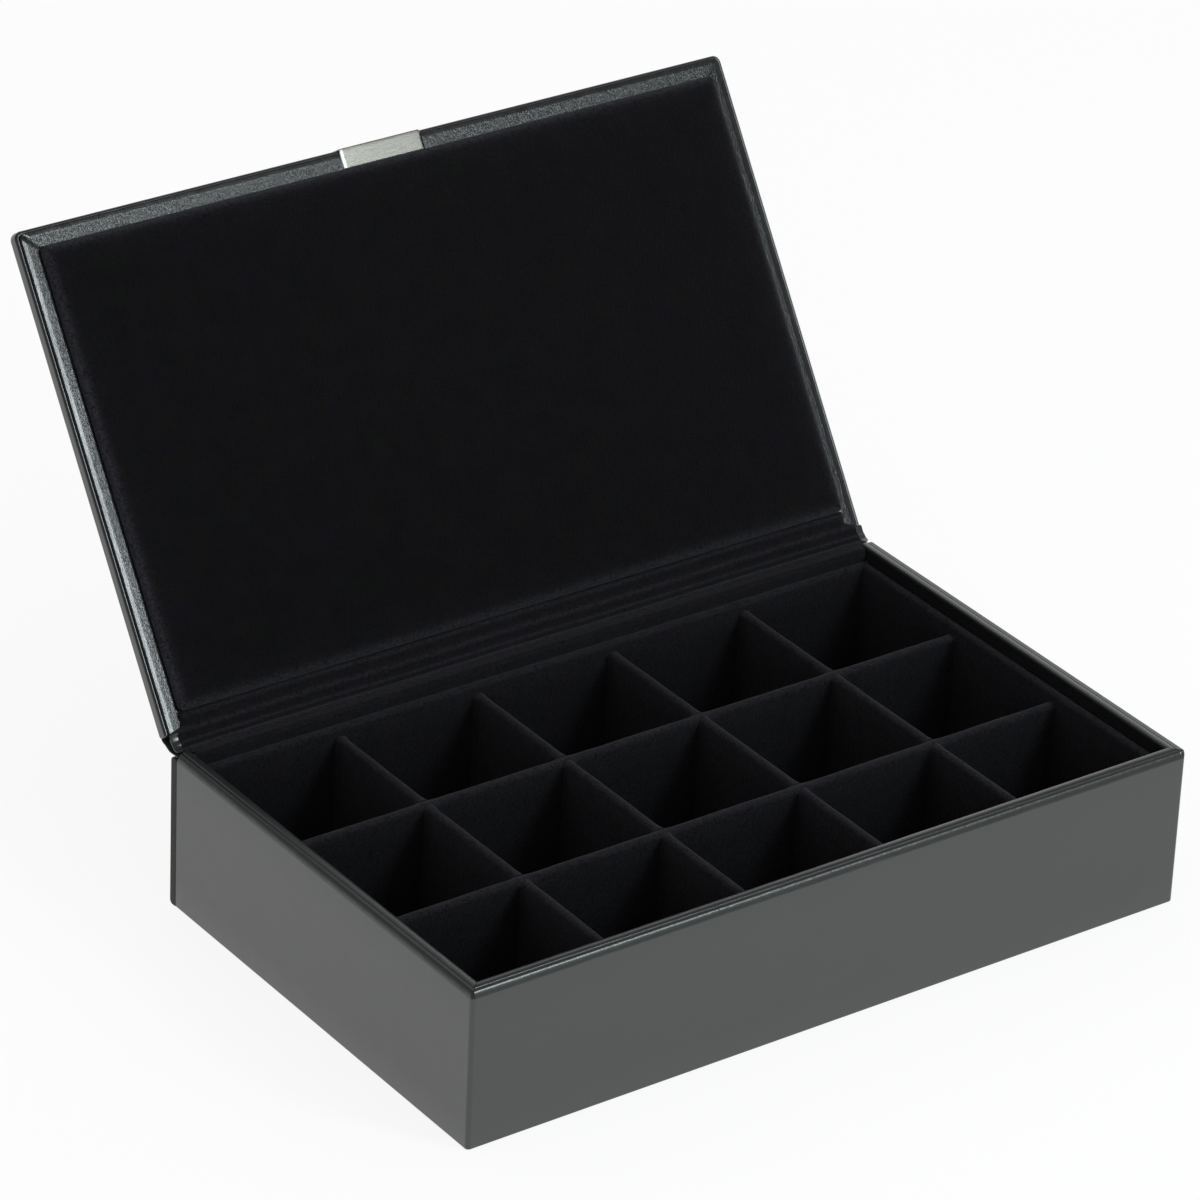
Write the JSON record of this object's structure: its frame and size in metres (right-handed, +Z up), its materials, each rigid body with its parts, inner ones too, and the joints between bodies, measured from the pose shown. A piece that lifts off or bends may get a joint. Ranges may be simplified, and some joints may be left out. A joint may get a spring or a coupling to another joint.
{
  "type": "cufflink box",
  "caption": "Rectangular leatherette case with a hinged lid, a velvet pad inside the lid, a metal clasp plate and a velvet tray of square compartments.",
  "frame": {"origin": "middle of the case's underside, on the surface that it stands on", "axes": "+Z up, +X to the right along the hinge, -Y to the front where the lid opens"},
  "size_m": [0.25, 0.2428, 0.1789],
  "materials": {
    "smooth_leatherette": "smooth black leatherette, low sheen",
    "lip_leatherette": "smooth black leatherette over board, low sheen",
    "grained_leatherette": "black leatherette with a fine creased grain",
    "velvet": "black short pile velvet",
    "board": "raw grey fibre board",
    "satin_steel": "satin brushed plate",
    "magnet": "plated bar magnet"
  },
  "bodies": {
    "case": {"base_sheet": "velvet", "floor_board": "board", "front_wall_board": "lip_leatherette", "left_wall_board": "lip_leatherette", "right_wall_board": "lip_leatherette", "rear_wall_board": "board", "case_wrap": "smooth_leatherette", "rear_cover_panel": "smooth_leatherette", "catch_magnet": "magnet", "tray_floor": "velvet", "tray_front_wall": "velvet", "tray_rear_wall": "velvet", "tray_left_wall": "velvet", "tray_right_wall": "velvet", "long_divider_1": "velvet", "long_divider_2": "velvet", "cross_divider_1": "velvet", "cross_divider_2": "velvet", "cross_divider_3": "velvet", "cross_divider_4": "velvet", "hinge_strip": "smooth_leatherette", "hinge_lining": "velvet"},
    "lid": {"lid_panel": "smooth_leatherette", "lid_liner": "grained_leatherette", "lid_pad": "velvet", "pad_board": "board", "clasp_plate": "satin_steel"}
  },
  "joints": [
    {"name": "lid_hinge", "type": "hinge", "parent": "case", "child": "lid", "pos_m": [0, 0.0772, 0.0513], "axis": [1, 0, 0], "range_deg": [0, 123.7], "deforming": ["hinge_strip", "hinge_lining"]}
  ]
}
